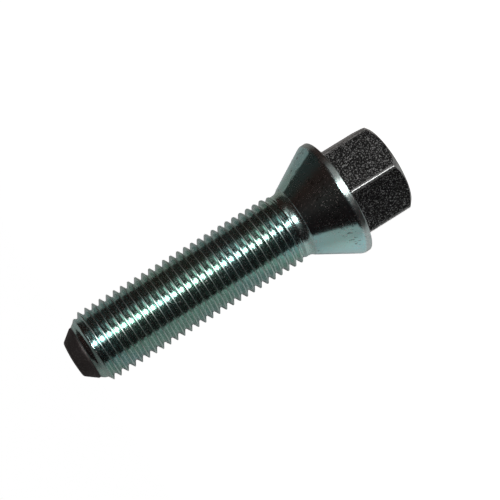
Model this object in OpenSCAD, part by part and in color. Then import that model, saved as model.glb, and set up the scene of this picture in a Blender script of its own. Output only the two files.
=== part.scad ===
// Wheel bolt with a fixed conical seat, standing on its hexagon head with the thread upward.
// The origin is the centre of the head's flat end face, and the axis of the bolt is Z.

/* [Hexagon head] */
// Width across the flats of the hexagon
across_flats = 16.85; // [14:0.05:19]
// Height of the hexagon, from its end face to the back of the rim
hex_h = 11; // [8:0.5:16]
// Radius along the six long edges of the hexagon
hex_edge_r = 0.35; // [0.2:0.05:0.8]
// Diameter of the flat circle inside the crowned end of the head
crown_d = 16.3; // [12:0.1:16.5]
// Slope of the crowned end, measured from the end face
crown_angle = 41; // [20:1:50]

/* [Rim and seat] */
// Diameter of the rim at the wide end of the seat
rim_d = 23.1; // [22:0.1:28]
// Height of the rim, from its back to where the seat would meet it sharp
rim_h = 1.35; // [1:0.05:3]
// Radius of the edge between the rim and the seat
rim_edge_r = 1.6; // [0.5:0.1:2.5]
// Radius of the edge at the back of the rim
rim_back_r = 0.3; // [0.1:0.05:0.3]
// Full angle of the conical seat
seat_angle = 60; // [50:1:90]
// Diameter of the seat where it meets the neck
seat_small_d = 14; // [13.4:0.1:16]

/* [Shank] */
// Length of the shank, from the small end of the seat to the tip
shank_l = 48; // [30:1:80]
// Diameter of the plain neck under the thread
neck_d = 12.9; // [12.4:0.1:13.2]
// Length of the neck and fillet, from the seat to where the thread begins
neck_l = 1.8; // [1.8:0.1:3]
// Radius of the fillet between the neck and the seat
neck_fillet_r = 1.8; // [1.4:0.1:1.8]

/* [Thread] */
// Outside diameter of the thread
thread_d = 13.85; // [13.7:0.05:14]
// Distance from one crest to the next
pitch = 1.5; // [1.25:0.25:2]
// Depth from the crests to the roots
thread_depth = 0.92; // [0.6:0.02:0.94]
// Angle between the two flanks of a groove
thread_angle = 60; // [55:1:60]
// Width of the flat on the crests
crest_w = 0.19; // [0.1:0.01:0.3]
// Length over which the thread rises out of the neck
rise_l = 1; // [0.5:0.1:2]

/* [Tip] */
// Diameter of the lead chamfer at its small end
lead_d = 10.4; // [9:0.1:12]
// Slope of the lead chamfer, measured from the axis
lead_angle = 37; // [25:1:45]
// Length of the straight step between the lead chamfer and the nose
step_h = 0.3; // [0.1:0.1:1]
// Slope of the nose, measured from the axis
nose_angle = 38; // [30:1:50]
// Length of the nose, from the step to the tip
nose_h = 2.45; // [2:0.05:3]
// Radius of the nearly flat dome on the end of the nose
dome_r = 25; // [15:1:60]
// Radius of the edge round the dome
nose_edge_r = 0.9; // [0.4:0.1:1.2]

/* [Hidden] */
$fn = 96;
// Straight steps that make up each rounded edge
arc_steps = 6;
// Straight steps that make up one turn of the thread
turn_steps = 30;
// Distance from the last full crest on the +X side up to the lead chamfer
last_crest = 0.285;
// Narrow ledge at each end of the thread, where its flat steps stand clear of the round neck and tip
ledge = 0.05;

rim_r = rim_d / 2;
seat_small_r = seat_small_d / 2;
thread_r = thread_d / 2;
neck_r = neck_d / 2;
lead_r = lead_d / 2;
half_seat = seat_angle / 2;

// Heights along the axis, from the end face of the head to the tip
seat_z = hex_h + rim_h;
neck_z = seat_z + (rim_r - seat_small_r) / tan(half_seat);
thread_z = neck_z + neck_l;
tip_z = neck_z + shank_l;
nose_z = tip_z - nose_h;
step_z = nose_z - step_h;
lead_z = step_z - (thread_r - lead_r) / tan(lead_angle);

// The two ends of the thread, its flat steps just outside the round neck and tip
thread_start_r = (neck_r + ledge) / cos(180 / turn_steps);
thread_end_r = (lead_r + ledge) / cos(180 / turn_steps);

// One tooth of the thread: the heights and radii of its four corners, from the start of its crest
root_r = thread_r - thread_depth;
flank_w = thread_depth * tan(thread_angle / 2);
tooth_z = [0, crest_w, crest_w + flank_w, pitch - flank_w];
tooth_r = [thread_r, thread_r, root_r, root_r];
corners = len(tooth_z);

// The teeth start at least one pitch under the thread, and the last corner lies beyond its end
first_tooth_z = lead_z - last_crest - crest_w / 2 - pitch * ceil((lead_z - thread_z) / pitch + 1);
last_corner = corners * ceil((step_z - thread_z) / pitch + 3);

// Points along an arc of radius r about [x, z], from one angle to another
function arc(x, z, r, from, to) =
    [for (i = [0:arc_steps])
        let (a = from + (to - from) * i / arc_steps)
        [x + r * cos(a), z + r * sin(a)]];

// The edge at the back of the rim turns from the back face to the straight rim
function rim_back() =
    arc(rim_r - rim_back_r, hex_h + rim_back_r, rim_back_r, -90, 0);

// The edge in front touches the straight rim and the slope of the seat
function rim_front() =
    arc(rim_r - rim_edge_r, seat_z - rim_edge_r * tan(half_seat / 2), rim_edge_r, 0, half_seat);

// The fillet starts at the small end of the seat and runs straight into the neck
function neck_fillet() =
    let (x = neck_r + neck_fillet_r,
         below = sqrt(pow(neck_fillet_r, 2) - pow(x - seat_small_r, 2)),
         start = 180 + asin(below / neck_fillet_r))
    arc(x, neck_z + below, neck_fillet_r, start, 180);

// The nose ends in a rounded edge, which touches its slope and the dome from inside
function nose_end() =
    let (dome_z = tip_z - dome_r,
         reach = dome_r - nose_edge_r,
         slope = lead_r * cos(nose_angle) + nose_z * sin(nose_angle),
         turn = nose_angle + acos((slope - nose_edge_r - dome_z * sin(nose_angle)) / reach))
    concat(arc(reach * cos(turn), dome_z + reach * sin(turn), nose_edge_r, nose_angle, turn),
           arc(0, dome_z, dome_r, turn, 90));

// Radius of the thread at height z, where a long thread would have radius r:
// it rises out of the neck, and the lead chamfer cuts its crests back
function thread_radius(z, r) =
    z >= step_z ? thread_end_r :
    let (risen = min(1, (z - thread_z) / rise_l))
    min(thread_start_r + (r - thread_start_r) * risen,
        thread_end_r + (step_z - z) * tan(lead_angle));

// Corner number k up the shank, at step j round it: the teeth climb one pitch in a turn
function thread_point(j, k) =
    let (climbed = pitch * (floor(k / corners) + j / turn_steps),
         z = max(thread_z, min(step_z, first_tooth_z + climbed + tooth_z[k % corners])),
         r = thread_radius(z, tooth_r[k % corners]),
         a = 360 * j / turn_steps)
    [r * cos(a), r * sin(a), z];

// Place of that corner in the list of points. After a full turn, it is one tooth further up.
function thread_index(j, k) =
    j < turn_steps ? j * (last_corner + 1) + k : min(k + corners, last_corner);

// Hexagon outline with rounded corners, one corner toward the front
module hex_outline() {
    corner_r = (across_flats / 2 - hex_edge_r) / cos(30);
    polygon([for (a = [30:60:330])
        each arc(corner_r * cos(a), corner_r * sin(a), hex_edge_r, a - 30, a + 30)]);
}

// The hexagon, rooted in the rim, its end crowned by a cone so that the corners fall away
module hex_head() {
    root_z = hex_h + rim_h / 2;
    intersection() {
        linear_extrude(root_z) hex_outline();
        cylinder(h = root_z, r1 = crown_d / 2, r2 = crown_d / 2 + root_z / tan(crown_angle));
    }
}

// Half section from the back of the rim, over the seat, to the end of the neck
module seat_section() {
    polygon(concat(
        [[0, hex_h]],
        rim_back(),
        rim_front(),
        neck_fillet(),
        [[neck_r, thread_z], [0, thread_z]]));
}

// The right-hand thread with its core, from the neck to the small end of the lead chamfer
module thread() {
    steps = [0:turn_steps - 1];
    points = [for (j = steps) for (k = [0:last_corner]) thread_point(j, k)];
    sides = [for (j = steps) for (k = [0:last_corner - 1])
        let (a = thread_index(j, k), b = thread_index(j, k + 1),
             c = thread_index(j + 1, k + 1), d = thread_index(j + 1, k))
        each [[a, b, c], [a, c, d]]];
    // Past the ends of the thread the corners fall together, and such sides are left out
    real_sides = [for (s = sides)
        if (points[s[0]] != points[s[1]] && points[s[1]] != points[s[2]] && points[s[2]] != points[s[0]]) s];
    bottom = [for (j = steps) thread_index(j, 0)];
    top = [for (j = steps) thread_index(turn_steps - 1 - j, last_corner)];
    polyhedron(points, concat(real_sides, [bottom, top]));
}

// Half section of the tip, from the small end of the lead chamfer
module tip_section() {
    polygon(concat([[0, step_z], [lead_r, step_z], [lead_r, nose_z]], nose_end()));
}

module wheel_bolt() {
    color("#9aa3a2")
    union() {
        hex_head();
        rotate_extrude() seat_section();
        thread();
        rotate_extrude() tip_section();
    }
}

wheel_bolt();
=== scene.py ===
from math import acos, asin, cos, degrees, hypot, pi, radians, sin, sqrt, tan

import bmesh
import bpy
from mathutils import Matrix, Vector


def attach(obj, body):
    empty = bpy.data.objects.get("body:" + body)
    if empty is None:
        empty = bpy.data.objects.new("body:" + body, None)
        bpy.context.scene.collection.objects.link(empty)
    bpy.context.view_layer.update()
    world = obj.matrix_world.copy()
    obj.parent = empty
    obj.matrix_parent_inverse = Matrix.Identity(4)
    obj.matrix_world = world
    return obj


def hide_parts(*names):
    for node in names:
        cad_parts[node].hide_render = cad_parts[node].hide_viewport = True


# A wheel bolt, standing on the flat end of its hexagon head with the thread upward.
# Its shape is worked out in millimetres and brought to metres when the mesh is finished.
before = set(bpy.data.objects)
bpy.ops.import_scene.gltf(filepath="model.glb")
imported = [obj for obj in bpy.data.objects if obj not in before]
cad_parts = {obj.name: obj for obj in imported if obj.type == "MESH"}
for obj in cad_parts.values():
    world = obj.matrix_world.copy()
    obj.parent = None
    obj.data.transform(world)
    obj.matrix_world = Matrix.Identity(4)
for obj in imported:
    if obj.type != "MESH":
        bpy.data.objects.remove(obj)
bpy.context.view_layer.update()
scene = bpy.context.scene
scene.view_settings.view_transform = "Standard"

# Camera: a long lens a quarter of a metre away, a little above the middle of the bolt.
# It is rolled, so that the upright bolt lies across the picture with its tip at the lower left.
eye = Vector((0.01837, -0.25335, 0.06865))
aim = Vector((0.0001, 0.0, 0.03026))
roll = radians(-121.75)


def facing(place, direction, front):
    """A matrix that puts a thing at a place, with its front axis along a direction."""
    return Matrix.Translation(place) @ direction.to_track_quat(front, "Y").to_matrix().to_4x4()


camera_data = bpy.data.cameras.new("camera")
camera_data.sensor_width = 36.0
camera_data.lens = 100.8
camera_data.clip_start = 0.01
camera_data.clip_end = 20.0
camera = bpy.data.objects.new("camera", camera_data)
camera.matrix_world = facing(eye, aim - eye, "-Z") @ Matrix.Rotation(roll, 4, "Z")
scene.collection.objects.link(camera)
scene.camera = camera

# Floor: a plain white board, softly lit. The metal of the bolt shows the studio and not the floor,
# so the floor is hidden from it.
floor_half = 6.0
white = (1.0, 1.0, 1.0, 1.0)


def into_scene(name, shape):
    """Makes an object of a finished bmesh and puts it into the scene."""
    mesh = bpy.data.meshes.new(name)
    shape.to_mesh(mesh)
    shape.free()
    made = bpy.data.objects.new(name, mesh)
    scene.collection.objects.link(made)
    return made


def coated(thing, name):
    """Gives a thing a new material and returns the material's node tree."""
    material = bpy.data.materials.new(name)
    material.use_nodes = True
    thing.data.materials.append(material)
    return material.node_tree


sheet = bmesh.new()
bmesh.ops.create_grid(sheet, x_segments=1, y_segments=1, size=floor_half)
floor = into_scene("floor", sheet)
floor.visible_glossy = False
floor.visible_shadow = False

paint = coated(floor, "white_board").nodes["Principled BSDF"]
paint.inputs["Base Color"].default_value = (0.9, 0.9, 0.9, 1.0)
paint.inputs["Roughness"].default_value = 0.9
paint.inputs["Emission Color"].default_value = white
paint.inputs["Emission Strength"].default_value = 1.0

# Studio: white to the eye, a dark room to the metal, with a tall soft lamp in front of the bolt, a
# faint one to its side and a small one low beyond the head, whose light the flanks of the thread catch.
# Directions are counted round the bolt's axis, from the camera's side.
camera_turn = radians(4.1)
toward = Vector((sin(camera_turn), -cos(camera_turn), 0.0))
across = Vector((cos(camera_turn), sin(camera_turn), 0.0))
lamp_distance = 0.9


def way(azimuth, elevation=0.0):
    """The direction that lies so many degrees round the axis and above the level."""
    level = cos(radians(azimuth)) * toward + sin(radians(azimuth)) * across
    return cos(radians(elevation)) * level + Vector((0.0, 0.0, sin(radians(elevation))))


class Wire:
    """A socket of a shader, which can be added, multiplied and so on as a number can."""

    def __init__(self, tree, socket=None):
        self.tree = tree
        self.socket = socket

    def node(self, kind, inputs=(), output=0, **settings):
        """A new node. Its settings are set first, then its inputs, which are values or wires."""
        made = self.tree.nodes.new("ShaderNode" + kind)
        for name, value in settings.items():
            setattr(made, name, value)
        for name, value in dict(inputs).items():
            if isinstance(value, Wire):
                value.into(made.inputs[name])
            else:
                made.inputs[name].default_value = value
        return Wire(self.tree, made.outputs[output] if made.outputs else None)

    def into(self, socket):
        self.tree.links.new(self.socket, socket)

    def math(self, operation, *values):
        return self.node("Math", enumerate(values), operation=operation)

    def __add__(self, other):
        return self.math("ADD", self, other)

    def __sub__(self, other):
        return self.math("SUBTRACT", self, other)

    def __rsub__(self, other):
        return self.math("SUBTRACT", other, self)

    def __mul__(self, other):
        return self.math("MULTIPLY", self, other)

    def __pow__(self, other):
        return self.math("POWER", self, other)

    def __rpow__(self, other):
        return self.math("POWER", other, self)

    __radd__ = __add__
    __rmul__ = __mul__

    def rise(self, low, high):
        """0 below low, 1 above high, and a soft slope between them."""
        inputs = {"Value": self, "From Min": low, "From Max": high}
        return self.node("MapRange", inputs, interpolation_type="SMOOTHSTEP")

    def noise(self, scale, detail=2.0, roughness=0.5):
        inputs = {"Vector": self, "Scale": scale, "Detail": detail, "Roughness": roughness}
        return self.node("TexNoise", inputs)

    def stretched(self, x, y, z):
        return self.node("VectorMath", {0: self, 1: (x, y, z)}, operation="MULTIPLY")

    def along(self, direction):
        return self.node("VectorMath", {0: self, 1: direction}, output=1, operation="DOT_PRODUCT")

    def mixed(self, one, other):
        """One colour where this is 0, the other where it is 1."""
        return self.node("Mix", {0: self, 6: one, 7: other}, output=2, data_type="RGBA")


# The room is warm and almost dark, a little less so on the lamps' side and high up beyond them.
room = bpy.data.worlds.new("room")
scene.world = room
room.use_nodes = True
room.node_tree.nodes.clear()
air = Wire(room.node_tree)
ray = air.node("TexCoord", output=0)
dusk = ray.along(way(70)).rise(-0.2, 0.9)
glow = ray.along(way(106, 24)).rise(0.82, 1.0)
seen = dusk.mixed((0.010, 0.0048, 0.0052, 1.0), (0.030, 0.0125, 0.0105, 1.0))
seen = glow.mixed(seen, (0.030, 0.027, 0.025, 1.0))
straight = air.node("LightPath", output=0)
sky = straight.mixed(seen, white)
light = air.node("Background", {"Color": sky, "Strength": 1.0})
air.node("OutputWorld", {"Surface": light})


def softbox(name, azimuth, elevation, width, height, watts):
    """A soft lamp that shines on the bolt and is seen in the metal only."""
    data = bpy.data.lights.new(name, "AREA")
    data.shape = "RECTANGLE"
    data.size = width
    data.size_y = height
    data.energy = watts
    lamp = bpy.data.objects.new(name, data)
    place = aim + way(azimuth, elevation) * lamp_distance
    lamp.matrix_world = facing(place, aim - place, "-Z")
    lamp.visible_camera = False
    scene.collection.objects.link(lamp)


softbox("main_lamp", azimuth=10, elevation=0, width=0.19, height=0.84, watts=7.0)
softbox("far_lamp", azimuth=46, elevation=-47, width=0.34, height=0.2, watts=0.42)
softbox("side_lamp", azimuth=48, elevation=-15, width=0.32, height=0.4, watts=0.12)

# Backboard: a white board behind the bolt, just clear of its rim and its thread. Only the metal sees
# it, as pale bands along both sides of the bolt. Shade is painted on it: it is brightest beside the
# head, darker past the seat and to one side, and dim past the tip.
board_azimuth, board_tilt = -155.5, 5.14
board_half = 0.15
rim_height, rim_clear = 0.0116, 0.0118
sideways = way(board_azimuth + 270)
board_shift = 0.065
board_middle = Vector((0.0, 0.0, rim_height)) + way(board_azimuth) * rim_clear + sideways * board_shift
sheet = bmesh.new()
bmesh.ops.create_grid(
    sheet, x_segments=1, y_segments=1, size=board_half,
    matrix=facing(board_middle, -way(board_azimuth, board_tilt), "Z"))
board = into_scene("backboard", sheet)
board.visible_camera = False
board.visible_shadow = False
board.visible_diffuse = False

card = coated(board, "white_card")
card_paint = card.nodes["Principled BSDF"]
card_place = Wire(card).node("NewGeometry", output=0)
aside = card_place.along(sideways)
above = card_place.along((0.0, 0.0, 1.0))
# Painted shade: the card's tone falls off past the seat, to one side and past the tip
past_seat = above.rise(0.017, 0.028)
past_tip = above.rise(0.062, 0.085) * (1.0 - aside.rise(0.0, 0.02))
painted_card_shade = past_seat.mixed((0.43, 0.43, 0.43, 1.0), (0.26, 0.26, 0.26, 1.0))
painted_card_shade = aside.rise(-0.01, 0.05).mixed(painted_card_shade, (0.20, 0.185, 0.175, 1.0))
painted_card_shade = past_tip.mixed(painted_card_shade, (0.09, 0.085, 0.08, 1.0))
painted_card_shade.into(card_paint.inputs["Base Color"])
card_paint.inputs["Roughness"].default_value = 0.9
card_paint.inputs["Specular IOR Level"].default_value = 0.0

# Thread: rolled into the bar, right-handed, 1.5 mm from crest to crest. One tooth is spun up the
# shank. Toward the neck it fades into the bar, and toward the tip its crests follow the chamfer.
pitch = 1.5
turns = 30
steps = 96
thread_r = 6.925
rolled_r = 6.6
bar_r = 6.45
first_crest = 20.908
fade_from, fade_to = 21.75, 23.25
chamfer_from, chamfer_to = 63.192, 64.9
chamfer_slope = tan(radians(37))
# Half a tooth, from the middle of its crest to the root: how far along the axis, and how far from it
half_tooth = [
    (0.0, 6.915), (0.05, 6.915), (0.085, 6.903), (0.11, 6.87),
    (0.225, 6.671), (0.34, 6.472), (0.455, 6.273), (0.57, 6.073),
    (0.62, 6.022), (0.68, 6.003), (0.75, 6.0),
]

bolt = bmesh.new()
# The hexagon's vertices will remember their radius in this layer, which has to be there first
flats = bolt.verts.layers.float.new("flats")
tooth = [(-u, r) for u, r in reversed(half_tooth)] + half_tooth[1:-1]
outline = [(first_crest + pitch * turn + u, r) for turn in range(turns) for u, r in tooth]
points = [bolt.verts.new((r, 0.0, z)) for z, r in outline]
lines = [bolt.edges.new(pair) for pair in zip(points, points[1:])]
bmesh.ops.spin(
    bolt, geom=points + lines, cent=(0, 0, 0), axis=(0, 0, 1), dvec=(0, 0, pitch / steps),
    angle=2 * pi, steps=steps, use_merge=False, use_duplicate=False)
bmesh.ops.remove_doubles(bolt, verts=bolt.verts[:], dist=0.01)

for vert in bolt.verts:
    spun_r = hypot(vert.co.x, vert.co.y)
    grown = min(max((vert.co.z - fade_from) / (fade_to - fade_from), 0.0), 1.0)
    along_chamfer = vert.co.z - chamfer_from
    left = min(max(1 - along_chamfer / (chamfer_to - chamfer_from), 0.0), 1.0)
    chamfer_r = thread_r - along_chamfer * chamfer_slope
    wanted_r = min(bar_r + (spun_r - bar_r) * grown, chamfer_r + (spun_r - rolled_r) * left)
    vert.co.xy *= wanted_r / spun_r

for cut_z, outward in ((fade_from, -1), (chamfer_to, 1)):
    whole = bolt.verts[:] + bolt.edges[:] + bolt.faces[:]
    bmesh.ops.bisect_plane(
        bolt, geom=whole, dist=0.0001, plane_co=(0, 0, cut_z), plane_no=(0, 0, outward),
        clear_outer=True)
bmesh.ops.remove_doubles(bolt, verts=bolt.verts[:], dist=0.002)

# Tip: turned. The chamfer ends in a short straight step, and the nose in a soft edge round a
# nearly flat dome. It is drawn out of the open end of the thread, ring by ring.
lead_r = 5.2
nose_z, tip_z = 65.781, 68.231
nose_slope = 38
nose_edge_r = 0.9
dome_r = 25.0
dome_end = 89.2


def ring_at(height):
    """The open edges of the mesh at a height."""
    return [e for e in bolt.edges if e.is_boundary and abs(e.verts[0].co.z - height) < 0.05]


def arc(x, z, r, start, end, count=6):
    """Points along an arc round (x, z), from one angle to another."""
    turn = [radians(start + (end - start) * i / count) for i in range(count + 1)]
    return [(x + r * cos(a), z + r * sin(a)) for a in turn]


def carry_on(edges, places):
    """Extrudes a ring of open edges from place to place, each a radius and a height."""
    for radius, height in places:
        made = bmesh.ops.extrude_edge_only(bolt, edges=edges)["geom"]
        for vert in (v for v in made if isinstance(v, bmesh.types.BMVert)):
            reach = radius(vert) if callable(radius) else radius
            vert.co.xy *= reach / hypot(vert.co.x, vert.co.y)
            vert.co.z = height(vert) if callable(height) else height
        edges = [e for e in made if isinstance(e, bmesh.types.BMEdge) and e.is_boundary]
    return edges


# The soft edge touches the slope of the nose and the dome from inside
dome_z = tip_z - dome_r
dome_reach = dome_r - nose_edge_r
nose_at = lead_r * cos(radians(nose_slope)) + nose_z * sin(radians(nose_slope))
nose_turn = acos((nose_at - nose_edge_r - dome_z * sin(radians(nose_slope))) / dome_reach)
dome_start = nose_slope + degrees(nose_turn)
edge_x = dome_reach * cos(radians(dome_start))
edge_z = dome_z + dome_reach * sin(radians(dome_start))
step = [(5.30, 65.348), (5.215, 65.44), (lead_r, 65.50), (lead_r, 65.74), (5.185, 65.80)]
nose = [(4.9, 66.165)] + arc(edge_x, edge_z, nose_edge_r, nose_slope, dome_start)
dome = arc(0, dome_z, dome_r, dome_start, dome_end, 5)[1:]
last = carry_on(ring_at(chamfer_to), step + nose + dome)
bmesh.ops.contextual_create(bolt, geom=last)

# Head: forged. A hexagon 17 mm nominal across its flats, with softly rounded edges and a crowned
# end, stands on the rim of the cone-shaped seat. A fillet leads from the seat into the neck.
flat_r = 8.425
corner_r = 0.35
flat_cuts = 15
end_r = 7.98
crown_r = 8.15
crown_slope = tan(radians(41))
hex_h = 11.0
rim_r = 11.55
rim_back_r, rim_edge_r = 0.3, 1.6
seat_z, neck_z = 12.35, 20.231
seat_slope = 30
seat_end_r = 7.0
fillet_r = 1.8

base = bmesh.ops.create_circle(
    bolt, cap_ends=True, segments=6, radius=flat_r / cos(pi / 6), matrix=Matrix.Identity(4))["verts"]
bmesh.ops.bevel(
    bolt, geom=base, offset=corner_r * tan(pi / 6), offset_type="OFFSET", segments=6,
    profile=0.5, affect="VERTICES", material=-1)
long_edges = [e for e in ring_at(0) if e.calc_length() > 1]
bmesh.ops.subdivide_edges(bolt, edges=long_edges, cuts=flat_cuts)
for vert in (v for v in bolt.verts if v.co.z < hex_h):
    vert[flats] = hypot(vert.co.x, vert.co.y)
    vert.co.xy *= end_r / vert[flats]


def past_flats(extra):
    """The radius of the hexagon's own outline, which each vertex remembers, and a little more."""
    return lambda vert: vert[flats] + extra


def crown(inward, upward):
    """A place on the crowned end, so far inward and up from where a flat meets it."""
    return past_flats(-inward), lambda vert: (vert[flats] - crown_r) * crown_slope + upward


end_edge = [(8.08, 0.012), (8.17, 0.05), (8.235, 0.105)]
crown_edge = [crown(0.08, -0.06), crown(0.02, 0.01), crown(0.0, 0.09)]
hex_root = [(past_flats(0.0), 10.7), (past_flats(0.09), 10.91), (past_flats(0.3), hex_h)]
rim_front_z = seat_z - rim_edge_r * tan(radians(seat_slope) / 2)
rim_back = arc(rim_r - rim_back_r, hex_h + rim_back_r, rim_back_r, -90, 0)
rim_front = arc(rim_r - rim_edge_r, rim_front_z, rim_edge_r, 0, seat_slope)
seat_end = [(seat_end_r + 0.06, neck_z - 0.104), (seat_end_r - 0.003, neck_z + 0.005)]
fillet_x = bar_r + fillet_r
fillet_rise = sqrt(fillet_r ** 2 - (fillet_x - seat_end_r) ** 2)
fillet_start = 180 + degrees(asin(fillet_rise / fillet_r))
fillet = arc(fillet_x, neck_z + fillet_rise, fillet_r, fillet_start, 180, 8)
head = end_edge + crown_edge + hex_root + rim_back + rim_front
last = carry_on(ring_at(0), head + seat_end + fillet[1:])
bmesh.ops.bridge_loops(bolt, edges=last + ring_at(fade_from))

# The mesh is closed, so all faces are turned outward, and it is brought to metres.
bmesh.ops.recalc_face_normals(bolt, faces=bolt.faces[:])
bmesh.ops.scale(bolt, vec=(0.001, 0.001, 0.001), verts=bolt.verts[:])
bolt.verts.layers.float.remove(flats)
plated_bolt = into_scene("plated_bolt", bolt)
plated_bolt.data.shade_smooth()
even = plated_bolt.modifiers.new("even_shading", "WEIGHTED_NORMAL")
even.keep_sharp = True
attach(plated_bolt, "root")
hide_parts("wheel_bolt")

# Plating: bright zinc with a faint blue-green tint. It is smooth on the seat and the thread, dull and
# grainy on the forged hexagon and darker on the nose. The lighter colour on the hexagon's corners, the
# thread's crests and the seat's small end is painted highlight. Heights and radii are in millimetres.
zinc = coated(plated_bolt, "bright_zinc")
steel = zinc.nodes["Principled BSDF"]
ink = Wire(zinc)
spot = ink.node("TexCoord", output=3)
grain = spot.noise(3900.0, 2.0, 0.7)
fine = spot.noise(4400.0, 1.0)
cloud = spot.noise(260.0, 3.0, 0.6)
tint = spot.noise(120.0, 1.0)
rings = spot.stretched(0.05, 0.05, 1.0).noise(5200.0, 2.0)
strokes = spot.stretched(1.0, 1.0, 0.28).noise(2600.0, 1.0) * cloud.rise(0.48, 0.56)

# Where the parts of the bolt are
up_bolt = spot.along((0.0, 0.0, 1000.0))
off_axis = (spot.along((1000.0, 0.0, 0.0)) ** 2.0 + spot.along((0.0, 1000.0, 0.0)) ** 2.0) ** 0.5
underside = ink.node("TexCoord", output=1).along((0.0, 0.0, -1.0)).rise(0.35, 0.6)
on_seat = up_bolt.rise(10.95, 11.15)
on_head = 1.0 - on_seat
on_rim = on_seat * (1.0 - up_bolt.rise(12.0, 12.7))
on_thread = up_bolt.rise(20.2, 20.5)
on_neck = on_thread * (1.0 - up_bolt.rise(21.6, 22.4))
on_nose = up_bolt.rise(65.25, 65.5)
# Where highlight is painted: the rounded corners of the hexagon, the crests of the thread and a ring at
# the seat's small end
hex_corner_glint = off_axis.rise(9.42, 9.58) * on_head * grain.rise(0.2, 0.6)
on_crest = off_axis.rise(6.84, 6.91) * on_thread
seat_glint_ring = up_bolt.rise(20.1, 20.18) * (1.0 - up_bolt.rise(20.22, 20.28)) * grain.rise(0.2, 0.6)

# The marks of forging and of handling
speck = grain.rise(0.52, 0.67)
dust = fine.rise(0.60, 0.70)
scratch = strokes.rise(0.57, 0.62) * up_bolt.rise(11.5, 12.5) * (1.0 - on_thread)

forged = speck.mixed((0.028, 0.029, 0.029, 1.0), (0.65, 0.68, 0.67, 1.0))
teal = tint.rise(0.35, 0.65).mixed((0.43, 0.75, 0.77, 1.0), (0.47, 0.76, 0.72, 1.0))
worn = speck.mixed((0.42, 0.47, 0.455, 1.0), (0.68, 0.73, 0.71, 1.0))
rolled = tint.rise(0.4, 0.6).mixed((0.42, 0.62, 0.60, 1.0), (0.44, 0.64, 0.57, 1.0))
nose_dark = speck.mixed((0.075, 0.067, 0.065, 1.0), (0.14, 0.127, 0.124, 1.0))
colour = on_seat.mixed(forged, teal)
colour = (on_rim * 0.85).mixed(colour, worn)
colour = on_thread.mixed(colour, rolled)
colour = (underside * on_head).mixed(colour, (0.40, 0.41, 0.40, 1.0))
# Painted highlight: these edges get a lighter colour, standing in for the lamp's glints along them
colour = (hex_corner_glint * 0.6 + on_crest * 0.35 + seat_glint_ring * 0.5).mixed(colour, (0.80, 0.82, 0.81, 1.0))
colour = (dust * on_seat * (1.0 - on_nose)).mixed(colour, (0.62, 0.56, 0.55, 1.0))
colour = on_nose.mixed(colour, nose_dark)
colour = scratch.mixed(colour, (0.20, 0.30, 0.29, 1.0))

rough = on_head * 0.21 + on_rim * 0.14 + on_nose * 0.46 + on_thread * 0.02 + 0.145
rough = rough + on_neck * 0.06 + (cloud - 0.5) * 0.06
rough = rough + dust * 0.13 + on_crest * 0.12 + seat_glint_ring * 0.3

relief = grain + rings * on_thread * 1.6
strength = on_head * 0.8 + on_rim * 0.4 + on_thread * 0.05 + 0.2
bumps = ink.node("Bump", {"Strength": strength, "Distance": 0.00002, "Height": relief})

colour.into(steel.inputs["Base Color"])
rough.into(steel.inputs["Roughness"])
bumps.into(steel.inputs["Normal"])
steel.inputs["Metallic"].default_value = 1.0
